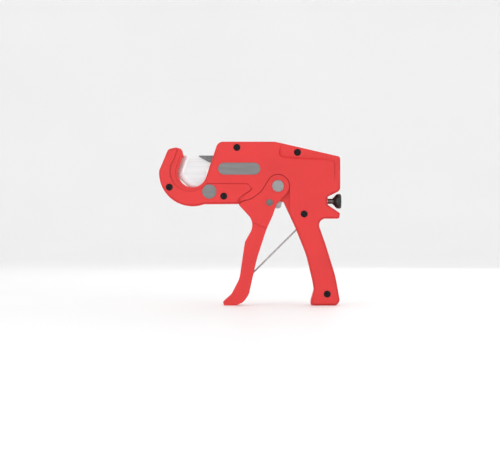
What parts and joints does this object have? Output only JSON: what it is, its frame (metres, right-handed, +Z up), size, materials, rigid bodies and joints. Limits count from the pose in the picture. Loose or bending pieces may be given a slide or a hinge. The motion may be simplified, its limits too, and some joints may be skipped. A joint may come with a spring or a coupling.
{
  "type": "plastic pipe cutter",
  "caption": "Ratchet cutter for plastic pipe: red pistol-grip housing with a hooked jaw, pointed sliding blade, hinged trigger, wire return spring and rear pull knob.",
  "frame": {"origin": "centre of the bounding box in X and Y, on the surface that the butt and the trigger tip stand on", "axes": "+X from the hooked jaw towards the pull knob, +Y towards the side without plates, +Z up"},
  "size_m": [0.206, 0.0282, 0.185],
  "materials": {
    "red_coat": "satin red powder coat on a light die casting",
    "black_steel": "black oxide",
    "grey_plate": "bare grey printed plate",
    "blade_steel": "fine ground steel",
    "pin_steel": "turned steel",
    "dark_steel": "burnished steel",
    "steel": "plain steel",
    "spring_steel": "spring wire",
    "brass": "turned brass",
    "black_plastic": "moulded black"
  },
  "bodies": {
    "frame": {"near_housing": "red_coat", "far_housing": "red_coat", "case_screws": "black_steel", "locating_dowels": "steel", "stadium_plate": "grey_plate", "round_badge": "grey_plate", "rod_bush": "brass", "holding_pawl_pin": "steel", "holding_pawl_spring": "spring_steel", "spring_post": "steel", "return_spring": "spring_steel"},
    "trigger": {"trigger": "red_coat", "pivot_pin": "pin_steel", "pivot_clip": "pin_steel", "lever_rivet": "dark_steel", "drive_lever": "steel", "drive_pawl_pin": "steel", "drive_pawl_spring": "spring_steel"},
    "carriage": {"blade": "blade_steel", "blade_carrier": "dark_steel", "blade_pins": "steel", "pull_rod": "dark_steel", "rod_cross_pin": "steel", "pull_knob": "black_plastic"},
    "drive_pawl": {"drive_pawl": "dark_steel"},
    "holding_pawl": {"holding_pawl": "dark_steel"},
    "spring_leg": {"spring_leg": "spring_steel"}
  },
  "joints": [
    {"name": "blade_slide", "type": "slide", "parent": "frame", "child": "carriage", "axis": [1, 0, 0], "range_m": [0, 0.0348]},
    {"name": "trigger_pivot", "type": "hinge", "parent": "frame", "child": "trigger", "pos_m": [0.0311, 0, 0.1349], "axis": [0, -1, 0], "range_deg": [0, 24], "stiffness_Nm_per_rad": 0.4, "springref_deg": -28.65},
    {"name": "drive_pawl_pivot", "type": "hinge", "parent": "trigger", "child": "drive_pawl", "pos_m": [0.0331, 0, 0.1439], "axis": [0, -1, 0], "range_deg": [0, 10], "stiffness_Nm_per_rad": 0.01, "springref_deg": -11.46},
    {"name": "holding_pawl_pivot", "type": "hinge", "parent": "frame", "child": "holding_pawl", "pos_m": [0.004, 0, 0.1425], "axis": [0, -1, 0], "range_deg": [0, 12], "stiffness_Nm_per_rad": 0.01, "springref_deg": -11.46},
    {"name": "spring_leg_swing", "type": "hinge", "parent": "frame", "child": "spring_leg", "pos_m": [0.0655, 0, 0.0931], "axis": [0, -1, 0], "range_deg": [0, 30]}
  ],
  "couplings": [
    {"joint": "spring_leg_swing", "follows": "trigger_pivot", "ratio": 1.25}
  ]
}
